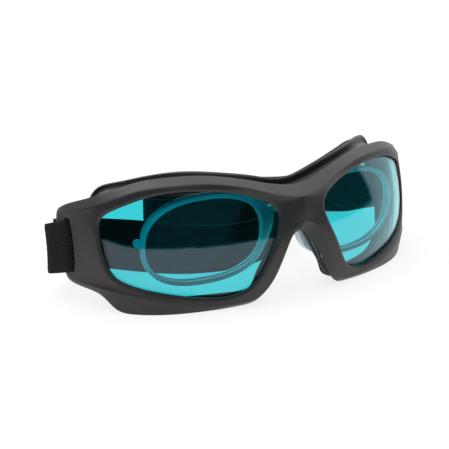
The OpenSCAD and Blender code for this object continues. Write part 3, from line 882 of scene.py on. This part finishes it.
def insert_piece(material):
    points, faces, edges = [], [], {}
    for side in (1, -1):
        rim(points, faces, edges, side)
        peg(points, faces, edges, side)
    mid_y = RX_EYE[1] - (RX_HALF_W + RX_RIM) * math.sin(RX_TURN)
    low = RX_EYE[2] + RX_BRIDGE_UP
    high = low + RX_BRIDGE_H
    rings = []
    for x in np.linspace(-RX_BRIDGE_X, RX_BRIDGE_X, BRIDGE_RINGS):
        y = mid_y + RX_BRIDGE_BEND * abs(x / RX_BRIDGE_X)
        near, far = y - RX_BRIDGE_T / 2, y + RX_BRIDGE_T / 2
        rings.append([(x, near, low), (x, near, high), (x, far, high), (x, far, low)])
    bar(points, faces, edges, rings, BRIDGE_SHARP)
    w, under = TONGUE_W / 2, high - TONGUE_T
    rings = [[(-w, y, under), (-w, y, high), (w, y, high), (w, y, under)]
             for y in (mid_y, (mid_y + TONGUE_END) / 2, TONGUE_END)]
    bar(points, faces, edges, rings, TONGUE_SHARP)
    obj = link("insert_rims", points, faces)
    crease(obj, edges)
    rounded(obj)
    shade(obj, 40)
    finish_piece(obj, "insert", ["rx_frame"], material)


STRAP_STEPS = 6
STRAP_COLS = 16
STRAP_MID_SLOT = 5.3
STRAP_MID_LOW = FLOOR_Z + STRAP_W / 2
STRAP_FALL = STRAP_MID_SLOT - STRAP_MID_LOW
# From the slots the strap falls evenly for this share of the way down, and then ever more gently
FALL_SHARE = 0.8
SLIDER_CLEAR = 0.35
SLIDER_CAP = 1.6
# By the slider it is lifted over the lower cap: by this much, for this far to each side, then a ramp
SLIDER_RAISE = SLIDER_CLEAR + SLIDER_CAP
RAISE_FLAT = 18
RAISE_RAMP = 22
BAR_RISE = 0.45
# The strap follows the bow of the wrap for this far from a slot, and is upright after this much more
FOLLOW_FROM = 12
FOLLOW_OVER = 30
BAR_END = 108.9
BEND_NEAR = 0.6
BEND_FAR = 2.6
BEND_DEPTH = 2
# The strap's outer pass as it leaves the bar: beyond the bar's end, and behind its height over the bar
BAR_TAIL = [(0.5, 0.3), (3.2, 0.6), (5.4, 1.4)]
# The point of strap_loop() that lies in the slot, where the strap turns round the bar
BAR_POINT = 3
# The slack webbing is a little wider by the temples, and leans back behind the right one
SPREAD_SLOT = 0.7
SPREAD_FADE = 45
SPREAD = 1.5
SPREAD_AT = 75
SPREAD_OVER = 30
TILT = 0.28
TILT_AT = 85
TILT_OVER = 25


def strap_loop():
    """The strap's turn round a bar, along and forward on the wrap: in under it, out over it."""
    mid = SLOT_START + SLOT_W / 2
    over = BAR_FACE + BAR_RISE + STRAP_GAP + STRAP_T / 2
    under = -LIP_WALL - POCKET_DEPTH - STRAP_GAP - STRAP_T / 2
    near, far, deep = BEND_NEAR, BEND_FAR, BEND_DEPTH
    return [(BAR_END - 0.5, under), (mid + far, under), (mid + near, under + near), (mid, under + deep),
            (mid, over - deep), (mid + 0.25, over - 0.8), (mid + 2 * near, over - 0.1), (mid + far, over),
            *((BAR_END + past, over - below) for past, below in BAR_TAIL)]


def bar_side(side):
    out = [(side * x, y) for x, y in STRAP_END]
    for s, d in strap_loop():
        x, y = wrap_plan(s)
        a = wrap_turn(s)
        out.append((side * (x + d * math.sin(a)), y - d * math.cos(a)))
    return out


def strap_route():
    """The strap's middle line in plan, the run to each point, its mid height, lean, width and tilt."""
    right, left = bar_side(-1), bar_side(1)[::-1]
    plan = open_curve(right + STRAP_PATH + left, STRAP_STEPS)
    step = np.hypot(*np.diff(plan, axis=0).T)
    run = np.concatenate([[0], np.cumsum(step)])
    bar_run = run[(len(STRAP_END) + BAR_POINT) * STRAP_STEPS]
    slider_run = run[(len(right) + SLIDER_STATION) * STRAP_STEPS]
    total = run[-1]
    away = np.minimum(abs(run - bar_run), abs(total - run - bar_run))
    fall = np.where(run < total / 2, SLOPE_RIGHT, SLOPE_LEFT) * away
    top = STRAP_FALL * FALL_SHARE
    rest = STRAP_FALL - top
    fall = np.where(fall < top, fall, STRAP_FALL - rest * np.exp(-np.maximum(fall - top, 0) / rest))
    u = np.clip((abs(run - slider_run) - RAISE_FLAT) / RAISE_RAMP, 0, 1)
    extra = SPREAD_SLOT * np.clip(2 - away / SPREAD_FADE, 0, 1)
    extra += SPREAD * np.exp(-((run - bar_run - SPREAD_AT) / SPREAD_OVER) ** 2)
    mid = STRAP_MID_SLOT - fall + extra / 2 + SLIDER_RAISE * (1 + np.cos(math.pi * u)) / 2
    lean = np.clip(1 - (away - FOLLOW_FROM) / FOLLOW_OVER, 0, 1)
    tilt = TILT * np.exp(-((run - bar_run - TILT_AT) / TILT_OVER) ** 2)
    return plan, run, mid, lean, STRAP_W + extra, tilt


# Every other line along the webbing lies this much deeper
STRAP_RIBS = 0.07
# The webbing thins towards its edges: to this share, over this distance
EDGE_THIN = 0.55
EDGE_OVER = 1.6


def strap_piece(material):
    plan, run, mid, lean, wide, tilt = strap_route()
    count = len(plan)
    t = np.array([plan[min(i + 1, count - 1)] - plan[max(i - 1, 0)] for i in range(count)])
    t /= np.linalg.norm(t, axis=1)[:, None]
    points, uvs = [], []
    for i in range(count):
        n = np.array((-t[i][1], t[i][0]))
        for side in (-1, 1):
            for k in range(STRAP_COLS + 1):
                share = k / STRAP_COLS
                edge = min(share, 1 - share) * wide[i]
                thick = STRAP_T / 2 * min(1, EDGE_THIN + edge / EDGE_OVER) - STRAP_RIBS * (k % 2)
                up = side * wide[i] * (share - 0.5)
                z = mid[i] + up
                p = plan[i] + side * n * thick
                points.append((p[0], p[1] + lean[i] * bow(z) + tilt[i] * (up + wide[i] / 2), z))
                uvs.append((run[i] / 1000, up / 1000))
    m = 2 * (STRAP_COLS + 1)
    faces = ring_tube(count, m, closed=False)
    for base in (0, (count - 1) * m):
        for k in range(STRAP_COLS):
            faces.append((base + k, base + k + 1, base + m - 2 - k, base + m - 1 - k))
    obj = link("strap_band", points, faces)
    layer = obj.data.uv_layers.new(name="weave")
    for loop in obj.data.loops:
        layer.data[loop.index].uv = uvs[loop.vertex_index]
    shade(obj, 60)
    finish_piece(obj, "goggles", ["strap"], material)


RAIL_W = 3.2
RAIL_T = 1.8
SLIDER_LEN = 16
# In metres
SLIDER_ROUND = 0.00045


def slider_piece(material):
    """The adjuster: two rails on one side of the strap, one on the other, and a cap above and below."""
    at = np.array(STRAP_PATH[SLIDER_STATION])
    run = np.array(STRAP_PATH[SLIDER_STATION + 1]) - at
    turn = math.atan2(run[1], run[0])
    height = STRAP_W + 2 * SLIDER_RAISE
    out = STRAP_T / 2 + SLIDER_CLEAR
    boxes = []
    for x in (-SLIDER_LEN / 2, SLIDER_LEN / 2 - RAIL_W):
        boxes.append((x, -out - RAIL_T, 0, RAIL_W, RAIL_T, height))
    boxes.append((-RAIL_W / 2, out, 0, RAIL_W, RAIL_T, height))
    for z in (0, height - SLIDER_CAP):
        boxes.append((-SLIDER_LEN / 2, -out - RAIL_T, z, SLIDER_LEN, 2 * (out + RAIL_T), SLIDER_CAP))
    points, faces = [], []
    c, s = math.cos(turn), math.sin(turn)
    for x0, y0, z0, wide, deep, tall in boxes:
        base = len(points)
        for dz in (0, tall):
            for dx, dy in ((0, 0), (wide, 0), (wide, deep), (0, deep)):
                x, y = x0 + dx, y0 + dy
                points.append((at[0] + x * c - y * s, at[1] + x * s + y * c, FLOOR_Z + z0 + dz))
        faces += shifted(((3, 2, 1, 0), (4, 5, 6, 7), (0, 1, 5, 4), (1, 2, 6, 5), (2, 3, 7, 6), (3, 0, 4, 7)),
                         base)
    obj = link("slider_buckle", points, faces)
    round_off = obj.modifiers.new("Round", "BEVEL")
    round_off.width = SLIDER_ROUND
    round_off.segments = 3
    settle(obj)
    shade(obj, 35)
    finish_piece(obj, "adjuster", ["strap_slider"], material)


STITCH_LEN = 1.7
STITCH_GAP = 0.9
STITCH_R = 0.16
# How deep a stitch starts in the webbing, and how far it rises from there
STITCH_DEEP = 0.12
STITCH_RISE = 0.2
STITCH_RINGS = 5
STITCH_SIDES = 6
# Stations of the two rows, and their distance from the strap's lower and upper edge
STITCH_ROWS = (4, 10)
STITCH_LOW = 1.5
STITCH_HIGH = 1
# A point inside the goggles, which the stitches face: back from the front of the wrap
INSIDE_Y = 20


def stitch_piece(name, side, material):
    """Two rows of stitches through the strap's sewn end behind a temple bar."""
    plan, run, mid, lean, _, _ = strap_route()
    points, faces = [], []
    last = STITCH_RINGS - 1
    for row in STITCH_ROWS:
        r = run[row] if side < 0 else run[-1] - run[row]
        x, y = (np.interp(r, run, plan[:, k]) for k in (0, 1))
        x2, y2 = (np.interp(r + 0.5, run, plan[:, k]) for k in (0, 1))
        t = np.array((x2 - x, y2 - y)) / math.hypot(x2 - x, y2 - y)
        n = np.array((-t[1], t[0]))
        middle, w = np.interp(r, run, mid), np.interp(r, run, lean)
        inner = 1 if np.dot(n, (-x, INSIDE_Y - y)) > 0 else -1
        z = middle - STRAP_W / 2 + STITCH_LOW
        while z + STITCH_LEN < middle + STRAP_W / 2 - STITCH_HIGH:
            base = len(points)
            for k in range(STITCH_RINGS):
                up = z + STITCH_LEN * k / last
                lift = STRAP_T / 2 - STITCH_DEEP + STITCH_RISE * math.sin(math.pi * k / last)
                for j in range(STITCH_SIDES):
                    a = math.tau * j / STITCH_SIDES
                    off = inner * (lift + STITCH_R * math.cos(a))
                    px, py = (x, y) + n * off + t * STITCH_R * math.sin(a)
                    points.append((px, py + w * bow(up), up))
            ends = [range(STITCH_SIDES)[::-1], [last * STITCH_SIDES + j for j in range(STITCH_SIDES)]]
            faces += shifted(ring_tube(STITCH_RINGS, STITCH_SIDES, closed=False) + ends, base)
            z += STITCH_LEN + STITCH_GAP
    obj = link(name, points, faces)
    shade(obj, 70)
    finish_piece(obj, "goggles", [], material)


def dress():
    shell = shell_material()
    glass = filter_material()
    frame_piece(shell)
    lens_piece("filter_right", -1, "lens_right", glass)
    lens_piece("filter_left", 1, "lens_left", glass)
    carrier_piece(carrier_material())
    cushion_piece(foam_material())
    insert_piece(insert_material())
    clear = insert_lens_material()
    for name in ("rx_lens_right", "rx_lens_left"):
        lens = frame["nodes"][name]
        lens.data.materials.clear()
        lens.data.materials.append(clear)
    strap_piece(webbing_material())
    slider_piece(slider_material())
    thread = thread_material()
    stitch_piece("stitches_right", -1, thread)
    stitch_piece("stitches_left", 1, thread)


# Camera: turned to the wearer's right of straight ahead, raised, and this far from the point in the middle
CAMERA_TURN = math.radians(32.51)
CAMERA_RISE = math.radians(18.31)
CAMERA_FAR = 425.9
CAMERA_AT = (-40.4, 0, 18.7)
CAMERA_LENS = 87.1


def camera():
    away = Vector((-math.sin(CAMERA_TURN) * math.cos(CAMERA_RISE),
                   -math.cos(CAMERA_TURN) * math.cos(CAMERA_RISE), math.sin(CAMERA_RISE)))
    right = Vector((math.cos(CAMERA_TURN), -math.sin(CAMERA_TURN), 0))
    up = away.cross(right)
    data = bpy.data.cameras.new("camera")
    data.lens = CAMERA_LENS
    data.sensor_width = 36
    data.clip_start = 0.01
    obj = bpy.data.objects.new("camera", data)
    bpy.context.scene.collection.objects.link(obj)
    spot = Vector(placed([CAMERA_AT])[0]) + away * CAMERA_FAR / 1000
    turn = Matrix((right, up, away)).transposed().to_4x4()
    obj.matrix_world = Matrix.Translation(spot) @ turn
    bpy.context.scene.camera = obj


# The table's edges, in metres: near to the wearer's right, farther in front, and far to the left and back
FLOOR_BOX = ((-0.36, -1.1), (3.0, 3.0))
# Share of plain white in what the camera sees of the table; the rest is lit, and keeps the shadow
FLOOR_GLOW = 0.8


def floor():
    """A pale table top that keeps a soft shadow and stays white to the camera and in the lenses."""
    (x0, y0), (x1, y1) = FLOOR_BOX
    mesh = bpy.data.meshes.new("floor")
    mesh.from_pydata([(x0, y0, 0), (x1, y0, 0), (x1, y1, 0), (x0, y1, 0)], [], [(0, 1, 2, 3)])
    obj = bpy.data.objects.new("floor", mesh)
    bpy.context.scene.collection.objects.link(obj)
    m = Nodes("floor_white")
    m.put(Base_Color=(0.93, 0.93, 0.93, 1), Roughness=0.9, Specular_IOR_Level=0.1)
    path = m.add("ShaderNodeLightPath")
    seen = m.math("MAXIMUM", path.outputs["Is Camera Ray"],
                  m.math("MAXIMUM", path.outputs["Is Glossy Ray"], path.outputs["Is Transmission Ray"]))
    glow = m.add("ShaderNodeEmission")
    glow.inputs["Strength"].default_value = 1.0
    mix = m.add("ShaderNodeMixShader")
    m.wire(m.math("MULTIPLY", seen, FLOOR_GLOW), mix.inputs[0])
    m.wire(m.shader.outputs[0], mix.inputs[1])
    m.wire(glow.outputs[0], mix.inputs[2])
    m.wire(mix.outputs[0], m.output.inputs["Surface"])
    mesh.materials.append(m.material)


# The room ahead: its direction, how soft its sides are, where it ends above, and its brightness; then
# the brightness of the sky beside it and overhead
ROOM_AXIS = math.radians(-16)
ROOM_SIDE = (0.0, 0.07)
ROOM_TOP = (0.8, 0.62)
ROOM_DARK = 0.012
SKY_SIDE = 1.0
SKY_TOP = 1.7


def world():
    """White to the camera and through clear pieces; other rays meet a dim room ahead, up to a height."""
    w = bpy.data.worlds.new("studio")
    bpy.context.scene.world = w
    w.use_nodes = True
    back = w.node_tree.nodes["Background"]
    t = Tree(w.node_tree)
    x, y, z = t.parts(t.add("ShaderNodeTexCoord").outputs["Generated"])
    flat = t.math("SQRT", t.math("ADD", t.math("MULTIPLY", x, x), t.math("MULTIPLY", y, y)))
    front = t.math("ADD", t.math("MULTIPLY", x, math.sin(ROOM_AXIS)),
                   t.math("MULTIPLY", y, -math.cos(ROOM_AXIS)))
    turned = t.math("DIVIDE", front, t.math("MAXIMUM", flat, 0.001))
    room = t.math("MULTIPLY", t.ramp(turned, *ROOM_SIDE, kind="SMOOTHSTEP"),
                  t.ramp(z, *ROOM_TOP, kind="SMOOTHSTEP"))
    sky = t.ramp(z, 0.0, 1.0, SKY_SIDE, SKY_TOP, kind="SMOOTHSTEP")
    light = t.math("ADD", t.math("MULTIPLY", sky, t.math("SUBTRACT", 1.0, room)),
                   t.math("MULTIPLY", room, ROOM_DARK))
    path = t.add("ShaderNodeLightPath")
    bounced = t.math("MAXIMUM", path.outputs["Glossy Depth"], path.outputs["Diffuse Depth"])
    through = t.math("MULTIPLY", path.outputs["Is Transmission Ray"], t.math("LESS_THAN", bounced, 0.5))
    seen = t.math("MAXIMUM", path.outputs["Is Camera Ray"], through)
    strength = t.math("ADD", t.math("MULTIPLY", light, t.math("SUBTRACT", 1.0, seen)), seen)
    t.wire(strength, back.inputs["Strength"])
    back.inputs["Color"].default_value = (1, 1, 1, 1)


# Lamp, in metres and watts
LAMP_AT = (-0.25, 0.1, 0.9)
LAMP_SIZE = (0.8, 0.6)
LAMP_POWER = 3.0


def lamp():
    """One large soft lamp above, aimed at the origin."""
    data = bpy.data.lights.new("overhead", "AREA")
    data.shape = "RECTANGLE"
    data.size, data.size_y = LAMP_SIZE
    data.energy = LAMP_POWER
    obj = bpy.data.objects.new("overhead", data)
    bpy.context.scene.collection.objects.link(obj)
    obj.location = LAMP_AT
    obj.rotation_euler = (-Vector(LAMP_AT)).to_track_quat("-Z", "Y").to_euler()
    obj.visible_camera = False


camera()
floor()
world()
lamp()
dress()
bpy.context.scene.view_settings.view_transform = "Standard"
